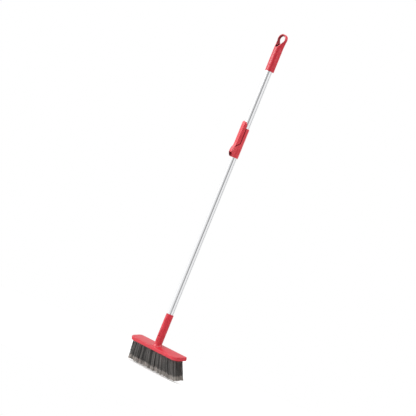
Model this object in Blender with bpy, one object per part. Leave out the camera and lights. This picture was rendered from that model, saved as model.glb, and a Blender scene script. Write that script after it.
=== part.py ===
"""A household broom: a raked brush head on a telescopic aluminium handle with a lever lock.

Frame: metres, +Z up the handle, X along the brush head, the lever faces -Y.
The origin is the point a wall hook bears on, at the top of the hole in the hanging loop, so the
broom hangs below Z = 0 with its handle upright.
"""

from math import cos, pi, radians, sin

import bmesh
import bpy
from mathutils import Matrix, Vector

GAP = 0.0003  # clearance between pieces that touch

# Telescopic handle
OUTER_RADIUS = 0.012
INNER_RADIUS = 0.011
TUBE_WALL = 0.0007
OUTER_TOP = -0.052
OUTER_BOTTOM = -0.395
OVERLAP = 0.070
SOCKET_DEPTH = 0.069

# Grip and hanging loop
LOOP_RIM = 0.007
LOOP_HALF_WIDTH = 0.0220
LOOP_HALF_HEIGHT = 0.0172
LOOP_HALF_THICKNESS = 0.0052
HOLE_HALF_WIDTH = 0.0152
HOLE_HALF_HEIGHT = 0.0122
HOLE_DEPTH = 0.036
HOLE_FOOT_RADIUS = 0.003
GRIP_SHOULDER = -0.042
GRIP_BOTTOM = -0.1265
GRIP_RADIUS = 0.0142
SLEEVE_BACK = 0.0012  # how far the sleeve's axis stands behind the tube's
LOOP_BACK = 0.0026
COLLAR_HEIGHT = 0.020
GROOVE_DEPTH = 0.0004
GROOVE_WIDTH = 0.0016

# Lever lock
LOCK_TOP = -0.3325
LOCK_BOTTOM = -0.437
LOCK_RADIUS = 0.0134
CHEEK_TOP = -0.390
CHEEK_HALF_WIDTH = 0.0102
CHEEK_FRONT = 0.0226
SLOT_HALF_WIDTH = 0.0077
LEVER_TOP = -0.310
LEVER_HALF_WIDTH = 0.0072
LEVER_FRONT = 0.0178
LEVER_SKIRT_HALF_WIDTH = 0.0136
LEVER_SKIRT_BACK = 0.0088
LEVER_SKIRT_END = -0.388
LEVER_NOSE = 0.0238
PIVOT_FORWARD = 0.0198
PIVOT_Z = -0.420
PIN_RADIUS = 0.0015
PIN_COVER = 0.0010  # thickness of the cheek left over the pin's end
CAM_RADIUS = 0.0039
CAM_OFFSET = 0.0004
SHOE_HALF_WIDTH = 0.0050
SHOE_HALF_HEIGHT = 0.0060

# Brush head
SOCKET_TOP = -1.001
SOCKET_RADIUS = 0.0127
SOCKET_PAD_HALF_WIDTH = 0.0050
SOCKET_PAD_FRONT = 0.0129
RAKE = radians(17.4)
UNDERSIDE_Z = -1.1253  # middle of the block's underside
UNDERSIDE_BACK = 0.0069  # how far that middle stands behind the handle's axis
BLOCK_LENGTH = 0.2828
BLOCK_WIDTH = 0.0508
FRONT_CORNER = 0.0254
BACK_CORNER = 0.0102
BLOCK_EDGE = 0.0120
BLOCK_CROWN = 0.0008
NECK_FILLET = 0.010
NECK_FRONT = 0.0161  # the flare is cut flat in front, where the block is narrow
TONGUE_TOP = -1.055
TONGUE_LENGTH = 0.0245
TONGUE_HALF_WIDTH = 0.0036
BARB_RADIUS = 0.0024

# Bristles
BRISTLE_LENGTH = 0.0684
BRISTLE_ROWS = 6
FIELD_HALF_LENGTH = 0.1175
FIELD_HALF_WIDTH = 0.0186
END_FLARE = 0.300

RED = (0.62, 0.03, 0.05)
SIDES = 48
CORNER_STEPS = 12


def clear_scene():
    for old in list(bpy.data.objects):
        bpy.data.objects.remove(old, do_unlink=True)


def make_material(name, colour, roughness, metallic=0.0):
    material = bpy.data.materials.new(name)
    material.use_nodes = True
    shader = material.node_tree.nodes["Principled BSDF"]
    shader.inputs["Base Color"].default_value = (*colour, 1.0)
    shader.inputs["Roughness"].default_value = roughness
    shader.inputs["Metallic"].default_value = metallic
    return material


def place(name, mesh, material, matrix=None):
    """Adds one object whose rounded faces are shaded smooth."""
    body = bpy.data.objects.new(name, mesh)
    bpy.context.collection.objects.link(body)
    mesh.shade_smooth()
    mesh.set_sharp_from_angle(angle=radians(35))
    mesh.materials.append(material)
    if matrix is not None:
        body.matrix_world = matrix
    return body


def place_on_axis(name, mesh, material, point):
    """Adds one moving object with its origin on its joint's axis; the mesh is in world coordinates."""
    mesh.transform(Matrix.Translation(point).inverted())
    return place(name, mesh, material, Matrix.Translation(point))


def mesh_of(name, shape):
    bmesh.ops.recalc_face_normals(shape, faces=shape.faces)
    mesh = bpy.data.meshes.new(name)
    shape.to_mesh(mesh)
    shape.free()
    return mesh


def lofted(name, rings):
    """A closed body through rings of equally many points, capped at both ends."""
    shape = bmesh.new()
    loops = [[shape.verts.new(point) for point in ring] for ring in rings]
    for lower, upper in zip(loops, loops[1:]):
        for i in range(len(lower)):
            j = (i + 1) % len(lower)
            shape.faces.new((lower[i], lower[j], upper[j], upper[i]))
    shape.faces.new(loops[0])
    shape.faces.new(loops[-1])
    return mesh_of(name, shape)


def turned(name, profile, sides=SIDES):
    """A closed body of revolution about Z from a closed outline of (radius, height) points."""
    shape = bmesh.new()
    rings = []
    for radius, height in profile:
        turns = [2 * pi * i / sides for i in range(sides)]
        rings.append([shape.verts.new((radius * cos(a), radius * sin(a), height)) for a in turns])
    for lower, upper in zip(rings, rings[1:] + rings[:1]):
        for i in range(sides):
            j = (i + 1) % sides
            shape.faces.new((lower[i], lower[j], upper[j], upper[i]))
    return mesh_of(name, shape)


def circle(radius, height, sides=SIDES, centre=(0.0, 0.0)):
    turns = [2 * pi * i / sides for i in range(sides)]
    return [(centre[0] + radius * cos(a), centre[1] + radius * sin(a), height) for a in turns]


def rod(name, radius, bottom, top, sides=SIDES):
    return lofted(name, [circle(radius, bottom, sides), circle(radius, top, sides)])


def prism_x(name, outline, half_width):
    """Extrudes a (y, z) outline along X."""
    return lofted(name, [[(x, y, z) for y, z in outline] for x in (-half_width, half_width)])


def prism_y(name, outline, back, front):
    """Extrudes an (x, z) outline along Y."""
    return lofted(name, [[(x, y, z) for x, z in outline] for y in (back, front)])


def box(name, low, high):
    outline = [(low[1], low[2]), (high[1], low[2]), (high[1], high[2]), (low[1], high[2])]
    return lofted(name, [[(x, y, z) for y, z in outline] for x in (low[0], high[0])])


def cutter(mesh, matrix=None):
    """An object that only shapes others."""
    tool = bpy.data.objects.new(mesh.name, mesh)
    bpy.context.collection.objects.link(tool)
    tool.hide_render = True
    tool.display_type = "WIRE"
    if matrix is not None:
        tool.matrix_world = matrix
    return tool


def combine(body, operation, tool):
    modifier = body.modifiers.new(tool.name, "BOOLEAN")
    modifier.operation = operation
    modifier.object = tool
    modifier.solver = "EXACT"


def arc(centre, half_width, half_height, start, end, steps):
    """Points of an ellipse's arc, from one angle to another."""
    angles = [start + (end - start) * i / steps for i in range(steps + 1)]
    return [(centre[0] + half_width * cos(a), centre[1] + half_height * sin(a)) for a in angles]


def grip_ring(half_width, half_depth, squareness, back, height):
    """A section of the grip; squareness 2 is an ellipse, and a higher one nears a rectangle."""
    ring = []
    for x, y, z in circle(1.0, height):
        reach = (abs(x) ** squareness + abs(y) ** squareness) ** (-1 / squareness)
        ring.append((x * half_width * reach, y * half_depth * reach + back, z))
    return ring


def blend(start, end, share):
    return start + (end - start) * share


def sleeve_rings():
    groove = GRIP_BOTTOM + COLLAR_HEIGHT
    levels = (
        (0.97 * GRIP_RADIUS, GRIP_BOTTOM),
        (GRIP_RADIUS, GRIP_BOTTOM + 0.0008),
        (GRIP_RADIUS, groove - GROOVE_WIDTH / 2),
        (GRIP_RADIUS - GROOVE_DEPTH, groove),
        (GRIP_RADIUS, groove + GROOVE_WIDTH / 2),
        (GRIP_RADIUS, GRIP_SHOULDER),
    )
    return [grip_ring(radius, radius, 2.6, SLEEVE_BACK, height) for radius, height in levels]


def loop_rings():
    """Sections that flatten from the sleeve into the loop, then close over its top."""
    middle = LOOP_RIM - LOOP_HALF_HEIGHT
    start = radians(-26)
    low = middle + LOOP_HALF_HEIGHT * sin(start)
    thick = 1.2 * LOOP_HALF_THICKNESS
    rings = []
    for share in (0.25, 0.5, 0.75):
        half_width = blend(GRIP_RADIUS, LOOP_HALF_WIDTH * cos(start), share**1.3)
        half_depth = blend(GRIP_RADIUS, thick, share**0.8)
        back = blend(SLEEVE_BACK, LOOP_BACK, share)
        height = blend(GRIP_SHOULDER, low, share)
        rings.append(grip_ring(half_width, half_depth, blend(2.6, 6.5, share), back, height))
    for step in range(11):
        turn = blend(start, radians(84), step / 10)
        half_depth = blend(thick, LOOP_HALF_THICKNESS, min(1.0, step / 3))
        height = middle + LOOP_HALF_HEIGHT * sin(turn)
        rings.append(grip_ring(LOOP_HALF_WIDTH * cos(turn), half_depth, 6.5, LOOP_BACK, height))
    return rings


def add_grip(material):
    """The moulded end grip: a squarish sleeve over the tube with a teardrop hanging loop on top."""
    grip = place("grip", lofted("grip", sleeve_rings() + loop_rings()), material)
    hole_centre = (0.0, -HOLE_HALF_HEIGHT)
    hole = arc(hole_centre, HOLE_HALF_WIDTH, HOLE_HALF_HEIGHT, radians(-22), radians(202), 20)
    foot = (0.0, HOLE_FOOT_RADIUS - HOLE_DEPTH)
    hole += arc(foot, HOLE_FOOT_RADIUS, HOLE_FOOT_RADIUS, radians(205), radians(335), 6)
    combine(grip, "DIFFERENCE", cutter(prism_y("hole", hole, -0.03, 0.03)))
    bore = rod("grip_bore", OUTER_RADIUS + GAP, GRIP_BOTTOM - 0.01, OUTER_TOP + GAP)
    combine(grip, "DIFFERENCE", cutter(bore))


def tube_profile(radius, bottom, top):
    return [(radius - TUBE_WALL, bottom), (radius, bottom), (radius, top), (radius - TUBE_WALL, top)]


def add_outer_tube(material):
    profile = tube_profile(OUTER_RADIUS, OUTER_BOTTOM, OUTER_TOP)
    tube = place("outer_tube", turned("outer_tube", profile), material)
    combine(tube, "DIFFERENCE", rivet_hole("tube_rivet_hole"))


def inner_tube_ends():
    return SOCKET_TOP - SOCKET_DEPTH + 0.003, OUTER_BOTTOM + OVERLAP


def add_inner_tube(material):
    bottom, top = inner_tube_ends()
    tube = place("inner_tube", turned("inner_tube", tube_profile(INNER_RADIUS, bottom, top)), material)
    hole = rod("barb_hole", BARB_RADIUS + 2 * GAP, 0.0, 2 * INNER_RADIUS, 20)
    combine(tube, "DIFFERENCE", cutter(hole, Matrix.Translation((0, 0, barb_z())) @ facing_front()))


def add_tube_ends(material):
    """The sliding bush on the inner tube's top end, and the plug in its bottom end."""
    bottom, top = inner_tube_ends()
    stem = INNER_RADIUS - TUBE_WALL - GAP
    bore = stem - 0.0015
    flange = OUTER_RADIUS - TUBE_WALL - GAP
    profile = [
        (bore, top - 0.016),
        (stem, top - 0.016),
        (stem, top + GAP),
        (flange, top + GAP),
        (flange, top + 0.006),
        (bore, top + 0.006),
    ]
    place("guide_bush", turned("guide_bush", profile), material)
    plug = [
        circle(INNER_RADIUS, bottom - 0.0025),
        circle(INNER_RADIUS, bottom - GAP),
        circle(stem, bottom - GAP),
        circle(stem, bottom + 0.004),
    ]
    place("tube_plug", lofted("tube_plug", plug), material)


def facing_front():
    """Turns a body that points along +Z so that it points along -Y."""
    return Matrix.Rotation(pi / 2, 4, "X")


def rivet_z():
    return LOCK_TOP - 0.017


def rivet_hole(name):
    """A hole for the rivet, through the back of the lock and the outer tube."""
    matrix = Matrix.Translation((0, 0, rivet_z())) @ Matrix.Rotation(-pi / 2, 4, "X")
    return cutter(rod(name, 0.0013 + GAP, 0.0, 2 * LOCK_RADIUS, 16), matrix)


def add_lock_rivet(material):
    head, shank = 0.0032, 0.0013
    profile = [
        circle(shank, OUTER_RADIUS - TUBE_WALL + GAP, 16),
        circle(shank, LOCK_RADIUS + GAP, 16),
        circle(head, LOCK_RADIUS + GAP, 16),
        circle(head * 0.9, LOCK_RADIUS + 0.0008, 16),
        circle(head * 0.5, LOCK_RADIUS + 0.0014, 16),
    ]
    matrix = Matrix.Translation((0, 0, rivet_z())) @ Matrix.Rotation(-pi / 2, 4, "X")
    place("lock_rivet", lofted("lock_rivet", profile), material, matrix)


def add_lock_body(material):
    """A sleeve on the outer tube's lower end, with two cheeks in front that carry the lever's pin."""
    edge = 0.0010
    rings = [
        circle(LOCK_RADIUS - edge, LOCK_BOTTOM),
        circle(LOCK_RADIUS, LOCK_BOTTOM + edge),
        circle(LOCK_RADIUS, LOCK_TOP - 2 * edge),
        circle(LOCK_RADIUS - 0.2 * edge, LOCK_TOP - 0.6 * edge),
        circle(LOCK_RADIUS - 0.6 * edge, LOCK_TOP),
    ]
    body = place("lock_body", lofted("lock_body", rings), material)
    cheeks = [
        (-0.002, CHEEK_TOP),
        (-0.0115, CHEEK_TOP - 0.001),
        (-0.0165, CHEEK_TOP - 0.008),
        (-CHEEK_FRONT + 0.0016, CHEEK_TOP - 0.018),
        (-CHEEK_FRONT, PIVOT_Z + 0.004),
        (-CHEEK_FRONT, PIVOT_Z - 0.0045),
        (-CHEEK_FRONT + 0.0032, PIVOT_Z - 0.0113),
        (-0.0165, LOCK_BOTTOM + 0.002),
        (-0.0145, LOCK_BOTTOM + 0.0004),
        (-0.002, LOCK_BOTTOM + 0.0004),
    ]
    combine(body, "UNION", cutter(prism_x("cheeks", cheeks, CHEEK_HALF_WIDTH)))
    slot_back = LOCK_RADIUS + GAP
    slot = box(
        "lever_slot",
        (-SLOT_HALF_WIDTH, -0.04, LOCK_BOTTOM - 0.01),
        (SLOT_HALF_WIDTH, -slot_back, CHEEK_TOP + 0.01),
    )
    combine(body, "DIFFERENCE", cutter(slot))
    window = box(
        "shoe_window",
        (-SHOE_HALF_WIDTH - GAP, -slot_back - 0.001, PIVOT_Z - SHOE_HALF_HEIGHT - GAP),
        (SHOE_HALF_WIDTH + GAP, -0.009, PIVOT_Z + SHOE_HALF_HEIGHT + GAP),
    )
    combine(body, "DIFFERENCE", cutter(window))
    lip = LOCK_BOTTOM + 0.0030
    combine(body, "DIFFERENCE", cutter(rod("lock_bore", OUTER_RADIUS + GAP, lip, 0.0)))
    combine(body, "DIFFERENCE", cutter(rod("lip_bore", INNER_RADIUS + GAP, LOCK_BOTTOM - 0.01, 0.0)))
    combine(body, "DIFFERENCE", rivet_hole("body_rivet_hole"))
    combine(body, "DIFFERENCE", pin_hole("body_pin_hole"))


def along_pin():
    """Turns a body that points along +Z so that it lies on the lever's pivot, along X."""
    return Matrix.Translation((0, -PIVOT_FORWARD, PIVOT_Z)) @ Matrix.Rotation(pi / 2, 4, "Y")


def pin_hole(name):
    """A hole for the pin, blind in the +X cheek, so that the pin can't be pushed through."""
    return cutter(rod(name, PIN_RADIUS + GAP, -0.02, CHEEK_HALF_WIDTH - PIN_COVER, 20), along_pin())


def add_lever_pin(material):
    start, end = PIN_COVER / 2 - CHEEK_HALF_WIDTH, CHEEK_HALF_WIDTH - PIN_COVER - GAP
    place("lever_pin", rod("lever_pin", PIN_RADIUS, start, end, 20), material, along_pin())


def add_lock_lever(material):
    """The lever: a thumb tongue that wraps the tube, on a narrow arm with an eccentric cam."""
    clear = LOCK_RADIUS + 2 * GAP
    arm = [
        (-clear, LEVER_SKIRT_END + 0.012),
        (-clear, PIVOT_Z + 0.008),
        (-PIVOT_FORWARD + 0.0025, PIVOT_Z + 0.003),
        (-PIVOT_FORWARD + 0.0025, PIVOT_Z - 0.002),
        (-PIVOT_FORWARD - 0.0005, PIVOT_Z - 0.0036),
        (-LEVER_NOSE + 0.0010, PIVOT_Z - 0.0030),
        (-LEVER_NOSE, PIVOT_Z),
        (-LEVER_NOSE + 0.0004, PIVOT_Z + 0.0060),
        (-LEVER_NOSE + 0.0024, PIVOT_Z + 0.0140),
        (-LEVER_FRONT - 0.0012, PIVOT_Z + 0.0220),
        (-LEVER_FRONT, PIVOT_Z + 0.0320),
        (-LEVER_FRONT, LEVER_SKIRT_END + 0.012),
    ]
    pivot = (0, -PIVOT_FORWARD, PIVOT_Z)
    lever = place_on_axis("lock_lever", prism_x("lock_lever", arm, LEVER_HALF_WIDTH), material, pivot)

    section = [
        (-LEVER_SKIRT_HALF_WIDTH, -LEVER_SKIRT_BACK),
        (-LEVER_HALF_WIDTH - 0.0010, -LEVER_FRONT + 0.0009),
        (-LEVER_HALF_WIDTH + 0.0004, -LEVER_FRONT),
        (LEVER_HALF_WIDTH - 0.0004, -LEVER_FRONT),
        (LEVER_HALF_WIDTH + 0.0010, -LEVER_FRONT + 0.0009),
        (LEVER_SKIRT_HALF_WIDTH, -LEVER_SKIRT_BACK),
    ]
    levels = (LEVER_SKIRT_END - 0.02, LEVER_TOP + 0.01)
    tongue = cutter(lofted("tongue", [[(x, y, z) for x, y in section] for z in levels]))
    half = LEVER_SKIRT_HALF_WIDTH
    front = arc((0.0, LEVER_TOP - half), half + 0.0005, half, 0.0, pi, 16)
    front += [(-half - 0.0005, LEVER_SKIRT_END - 0.02), (half + 0.0005, LEVER_SKIRT_END - 0.02)]
    combine(tongue, "INTERSECT", cutter(prism_y("tongue_front", front, -0.03, 0.0)))
    skirt = [
        (0.0, LEVER_SKIRT_END),
        (-LEVER_SKIRT_BACK, LEVER_SKIRT_END),
        (-LEVER_FRONT - 0.004, LEVER_SKIRT_END - 0.010),
        (-LEVER_FRONT - 0.004, LEVER_TOP - 0.018),
        (-LEVER_FRONT, LEVER_TOP - 0.012),
        (-LEVER_FRONT + 0.0009, LEVER_TOP - 0.0055),
        (-LEVER_FRONT + 0.0030, LEVER_TOP - 0.0015),
        (-LEVER_FRONT + 0.0052, LEVER_TOP),
        (0.0, LEVER_TOP + 0.001),
    ]
    combine(tongue, "INTERSECT", cutter(prism_x("tongue_side", skirt, 0.02)))
    over_body = LOCK_TOP + 2 * GAP
    combine(tongue, "DIFFERENCE", cutter(rod("body_hollow", clear, -0.45, over_body)))
    combine(tongue, "DIFFERENCE", cutter(rod("tube_hollow", OUTER_RADIUS + 2 * GAP, -0.45, -0.25)))
    combine(lever, "UNION", tongue)

    offset = Matrix.Translation((0, CAM_OFFSET, 0)) @ along_pin()
    cam = rod("cam", CAM_RADIUS, -LEVER_HALF_WIDTH + 0.0004, LEVER_HALF_WIDTH - 0.0004, 32)
    combine(lever, "UNION", cutter(cam, offset))
    combine(lever, "DIFFERENCE", pin_hole("lever_pin_hole"))


def add_clamp_liner(material):
    """The split liner between the inner tube and the lock body."""
    inner, outer = INNER_RADIUS + GAP, OUTER_RADIUS
    low, high = LOCK_BOTTOM + 0.0030 + GAP, OUTER_BOTTOM - GAP
    profile = [(inner, low), (outer, low), (outer, high), (inner, high)]
    liner = place("clamp_liner", turned("clamp_liner", profile), material)
    combine(liner, "DIFFERENCE", cutter(box("split", (-0.001, 0, -0.5), (0.001, 0.02, -0.3))))


def add_clamp_shoe(material):
    """The shoe that the lever's cam presses against the liner."""
    shoe = box(
        "clamp_shoe",
        (-SHOE_HALF_WIDTH, -PIVOT_FORWARD + CAM_OFFSET + CAM_RADIUS + GAP, PIVOT_Z - SHOE_HALF_HEIGHT),
        (SHOE_HALF_WIDTH, -OUTER_RADIUS + 0.001, PIVOT_Z + SHOE_HALF_HEIGHT),
    )
    shoe = place("clamp_shoe", shoe, material)
    combine(shoe, "DIFFERENCE", cutter(rod("shoe_hollow", OUTER_RADIUS + GAP, -0.5, -0.3)))


def raked():
    """The brush head's own frame: its origin is the middle of the block's underside."""
    middle = Matrix.Translation((0, UNDERSIDE_BACK, UNDERSIDE_Z))
    return middle @ Matrix.Rotation(RAKE, 4, "X")


def rounded_block(inset, height):
    """The block's outline, drawn in by an inset; its front corners are rounder than its back ones."""
    ring = []
    corners = ((1, 1, BACK_CORNER), (-1, 1, BACK_CORNER), (-1, -1, FRONT_CORNER), (1, -1, FRONT_CORNER))
    for quarter, (side, face, radius) in enumerate(corners):
        centre = (side * (BLOCK_LENGTH / 2 - radius), face * (BLOCK_WIDTH / 2 - radius))
        start = quarter * pi / 2
        ring += arc(centre, radius - inset, radius - inset, start, start + pi / 2, CORNER_STEPS)
    return [(x, y, height) for x, y in ring]


def block_top_z():
    """Where the handle's axis meets the top of the block."""
    forward = UNDERSIDE_BACK / cos(RAKE)
    return UNDERSIDE_Z + BLOCK_EDGE / cos(RAKE) - forward * sin(RAKE)


def neck_rings():
    """Sections of the socket and of its flare, which tilts over to meet the raked block."""
    rings = [
        circle(SOCKET_RADIUS - 0.0006, SOCKET_TOP),
        circle(SOCKET_RADIUS, SOCKET_TOP - 0.0008),
    ]
    foot = block_top_z() + BLOCK_CROWN * 0.6
    flare_top = foot + NECK_FILLET + 0.006
    rings.append(circle(SOCKET_RADIUS, flare_top))
    steps = [(NECK_FILLET * (1 - sin(radians(turn))), 1 - cos(radians(turn))) for turn in range(0, 85, 14)]
    for rise, reach in steps + [(-0.6 * BLOCK_EDGE, 1.0)]:
        tilt = Matrix.Rotation(RAKE * min(1.0, (flare_top - foot - rise) / (flare_top - foot)), 4, "X")
        place_ring = Matrix.Translation((0, 0, foot + rise)) @ tilt
        ring = [place_ring @ Vector(point) for point in circle(SOCKET_RADIUS + NECK_FILLET * reach, 0.0)]
        rings.append([Vector((x, max(y, -NECK_FRONT), z)) for x, y, z in ring])
    return rings


def add_brush_block(material):
    """The block and its handle socket, moulded as one."""
    sections = (
        rounded_block(0.0020, 0.0),
        rounded_block(0.0006, 0.0006),
        rounded_block(0.0, 0.0020),
        rounded_block(0.0, BLOCK_EDGE - 0.0020),
        rounded_block(0.0006, BLOCK_EDGE - 0.0006),
        rounded_block(0.0020, BLOCK_EDGE),
        rounded_block(0.0090, BLOCK_EDGE + BLOCK_CROWN),
    )
    block = place("brush_block", lofted("brush_block", sections), material, raked())
    combine(block, "UNION", cutter(lofted("neck", neck_rings()[::-1])))
    pad = box(
        "socket_pad",
        (-SOCKET_PAD_HALF_WIDTH, -SOCKET_PAD_FRONT, block_top_z() + 1.6 * NECK_FILLET),
        (SOCKET_PAD_HALF_WIDTH, -0.008, SOCKET_TOP - 0.006),
    )
    combine(block, "UNION", cutter(pad))
    bore = rod("socket_bore", INNER_RADIUS + GAP, SOCKET_TOP - SOCKET_DEPTH, 0.0)
    combine(block, "DIFFERENCE", cutter(bore))
    edge = 2 * GAP
    slot = box(
        "tongue_slot",
        (-TONGUE_HALF_WIDTH - edge, -0.02, TONGUE_TOP - TONGUE_LENGTH - 3 * edge),
        (TONGUE_HALF_WIDTH + edge, -0.006, TONGUE_TOP + edge),
    )
    combine(block, "DIFFERENCE", cutter(slot))


def barb_z():
    return TONGUE_TOP - TONGUE_LENGTH + BARB_RADIUS + 0.0025


def add_release_tongue(material):
    """The spring tongue in the socket's front wall, whose barb drops into a hole in the tube."""
    inside, outside = INNER_RADIUS + 2 * GAP, SOCKET_PAD_FRONT + 0.0006
    low, top = TONGUE_TOP - TONGUE_LENGTH, TONGUE_TOP
    side = [
        (-inside, low),
        (-inside, top),
        (-SOCKET_PAD_FRONT + 0.0003, top),
        (-outside, top - 0.005),
        (-outside - 0.0006, low + 0.003),
        (-outside + 0.0002, low),
    ]
    root = (0, -SOCKET_PAD_FRONT, top)
    tongue = prism_x("release_tongue", side, TONGUE_HALF_WIDTH)
    tongue = place_on_axis("release_tongue", tongue, material, root)
    barb = rod("barb", BARB_RADIUS, INNER_RADIUS - TUBE_WALL + GAP, INNER_RADIUS + 0.0015, 20)
    combine(tongue, "UNION", cutter(barb, Matrix.Translation((0, 0, barb_z())) @ facing_front()))


def add_bristles(material):
    """One solid for each row of tufts; the rows spread outwards at both ends."""
    pitch = 2 * FIELD_HALF_WIDTH / BRISTLE_ROWS
    tip_half_length = FIELD_HALF_LENGTH + END_FLARE * BRISTLE_LENGTH
    for row in range(BRISTLE_ROWS):
        front = -FIELD_HALF_WIDTH + row * pitch + GAP / 2
        back = front + pitch - GAP
        rings = []
        for height, half_length in ((-BRISTLE_LENGTH, tip_half_length), (-GAP, FIELD_HALF_LENGTH)):
            corners = ((-1, front), (1, front), (1, back), (-1, back))
            rings.append([(side * half_length, y, height) for side, y in corners])
        name = f"bristle_row_{row + 1}"
        place(name, lofted(name, rings), material, raked())


def build():
    clear_scene()
    red = make_material("red_polypropylene", RED, 0.35)
    nylon = make_material("white_nylon", (0.75, 0.75, 0.72), 0.45)
    aluminium = make_material("anodised_aluminium", (0.80, 0.81, 0.83), 0.28, 1.0)
    steel = make_material("zinc_plated_steel", (0.60, 0.60, 0.58), 0.30, 1.0)
    bristle = make_material("grey_bristle", (0.08, 0.075, 0.07), 0.60)
    add_grip(red)
    add_outer_tube(aluminium)
    add_inner_tube(aluminium)
    add_tube_ends(nylon)
    add_lock_body(red)
    add_lock_lever(red)
    add_lever_pin(steel)
    add_lock_rivet(steel)
    add_clamp_liner(nylon)
    add_clamp_shoe(red)
    add_brush_block(red)
    add_release_tongue(red)
    add_bristles(bristle)


build()
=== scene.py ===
"""The looks of the telescopic broom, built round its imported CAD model."""

from math import atan2, cos, degrees, pi, radians, sin
from random import Random

import bmesh
import bpy
from mathutils import Matrix, Vector


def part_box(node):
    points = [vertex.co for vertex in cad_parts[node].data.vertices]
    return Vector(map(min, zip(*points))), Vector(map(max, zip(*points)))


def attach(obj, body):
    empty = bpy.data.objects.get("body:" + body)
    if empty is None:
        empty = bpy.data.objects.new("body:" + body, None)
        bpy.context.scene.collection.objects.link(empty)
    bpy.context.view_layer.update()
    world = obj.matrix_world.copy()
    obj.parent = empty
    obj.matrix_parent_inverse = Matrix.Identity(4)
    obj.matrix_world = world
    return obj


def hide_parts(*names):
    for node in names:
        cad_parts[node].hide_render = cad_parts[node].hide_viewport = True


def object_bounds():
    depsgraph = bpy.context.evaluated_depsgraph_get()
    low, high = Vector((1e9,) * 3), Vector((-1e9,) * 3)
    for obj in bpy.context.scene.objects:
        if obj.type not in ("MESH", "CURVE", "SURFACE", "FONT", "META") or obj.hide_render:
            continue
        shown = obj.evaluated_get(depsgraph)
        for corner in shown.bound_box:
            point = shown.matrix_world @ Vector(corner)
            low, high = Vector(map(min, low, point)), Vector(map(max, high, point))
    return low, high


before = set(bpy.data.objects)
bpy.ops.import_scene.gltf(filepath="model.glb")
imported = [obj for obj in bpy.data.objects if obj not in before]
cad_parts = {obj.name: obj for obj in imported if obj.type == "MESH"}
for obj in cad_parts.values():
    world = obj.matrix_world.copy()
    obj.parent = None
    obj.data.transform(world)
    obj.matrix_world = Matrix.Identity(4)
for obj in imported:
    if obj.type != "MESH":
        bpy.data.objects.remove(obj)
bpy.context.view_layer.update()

SIDES = 96  # of a round piece
GAP = 0.0003  # clearance between neighbouring pieces

# Handle
OUTER_RADIUS = 0.0120
INNER_RADIUS = 0.0110
TUBE_WALL = 0.0007

# Grip and loop
GRIP_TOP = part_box("grip")[1].z
GRIP_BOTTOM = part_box("grip")[0].z
GRIP_SHOULDER = -0.042
GRIP_RADIUS = 0.0142
SLEEVE_BACK = 0.0012
LOOP_BACK = 0.0026
LOOP_HALF_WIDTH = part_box("grip")[1].x
LOOP_HALF_HEIGHT = 0.0172
LOOP_HALF_THICKNESS = 0.0052
LOOP_START = radians(-26)  # where the loop's round outline begins, below its middle
SLEEVE_SQUARENESS = 2.6  # 2 is an ellipse, and a higher one nears a rectangle
LOOP_SQUARENESS = 6.5
HOLE_HALF_WIDTH = 0.0140
HOLE_HALF_HEIGHT = 0.0122
HOLE_DEPTH = 0.036
HOLE_FOOT_RADIUS = 0.003
HOLE_FLARE = 0.0040
COLLAR_HEIGHT = 0.020
GROOVE_WIDTH = 0.0016
GROOVE_DEPTH = 0.0005
RIB_PITCH = 0.0024
RIB_HEIGHT = 0.00022
RIB_REACH = 42  # degrees round the sleeve, either way from the middle of each flank

# Lock
LOCK_TOP = -0.3325
LOCK_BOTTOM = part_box("lock_body")[0].z
LOCK_RADIUS = 0.0134
CHEEK_TOP = -0.390
CHEEK_HALF_WIDTH = 0.0102
CHEEK_FRONT = -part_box("lock_body")[0].y
SLOT_HALF_WIDTH = 0.0077
LEVER_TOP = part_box("lock_lever")[1].z
LEVER_HALF_WIDTH = 0.0072
LEVER_FRONT = 0.0178
LEVER_NOSE = 0.0238
SKIRT_HALF_WIDTH = 0.0136
SKIRT_BACK = 0.0088
SKIRT_END = -0.388
SKIRT_SLOPE = 1.05  # how steeply the skirt's lower edge drops towards the front
# width of the painted shade line beside the lever's skirt
SEAM_SHADE_WIDTH = 0.0034
PIVOT = Vector((0, -0.0198, -0.420))
PIN_RADIUS = 0.0015
PIN_COVER = 0.0010
CAM_RADIUS = 0.0039
CAM_OFFSET = 0.0004
LIP_HEIGHT = 0.0030
BELOW_LEVER = -0.45
ABOVE_LEVER = -0.25

# Brush head
SOCKET_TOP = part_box("brush_block")[1].z
SOCKET_RADIUS = 0.0127
PAD_HALF_WIDTH = 0.0050
PAD_FRONT = 0.0129
RAKE = radians(17.4)
UNDERSIDE = Vector((0, 0.0069, -1.1253))
BLOCK_LENGTH = 2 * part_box("brush_block")[1].x
BLOCK_WIDTH = 0.0508
FRONT_CORNER = 0.0254
BACK_CORNER = 0.0102
BLOCK_EDGE = 0.0120
BLOCK_CROWN = 0.0008
NECK_FILLET = 0.010
NECK_FRONT = 0.0161  # the flare is cut flat in front, where the block is narrow
TONGUE_TOP = -1.055
TONGUE_LENGTH = 0.0245
TONGUE_HALF_WIDTH = 0.0036

# Bristles
BRISTLE_LENGTH = 0.0684
BRISTLE_ROWS = 6
FIELD_HALF_LENGTH = 0.1175
FIELD_HALF_WIDTH = 0.0186
TIP_HALF_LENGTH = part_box("bristle_row_1")[1].x
TUFTS_IN_ROW = 27
CLUMPS_IN_TUFT = 5
STRANDS_IN_CLUMP = 10
STRAND_RADIUS = 0.00036
FLAG_LENGTH = 0.0165
TUFT_ROOT_SPREAD = 0.0034
TUFT_TIP_SPREAD = 0.0046

# Reds: the two tones that mottle the plastic, and the colours of the painted shade in its deep places
RED = ((0.57, 0.018, 0.034), (0.64, 0.026, 0.046))
# A brighter, pinker copy of the red, for the lock and lever: painted light and sheen, standing in for the
# light they catch
LIT_RED = ((0.70, 0.046, 0.064), (0.77, 0.060, 0.078))
# painted shade for the seam beside the lever and for the slot
SEAM_SHADE = (0.15, 0.010, 0.014)
# painted shade, near black, in the foot of the loop's hole
POCKET_SHADE = (0.020, 0.002, 0.003)

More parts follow.
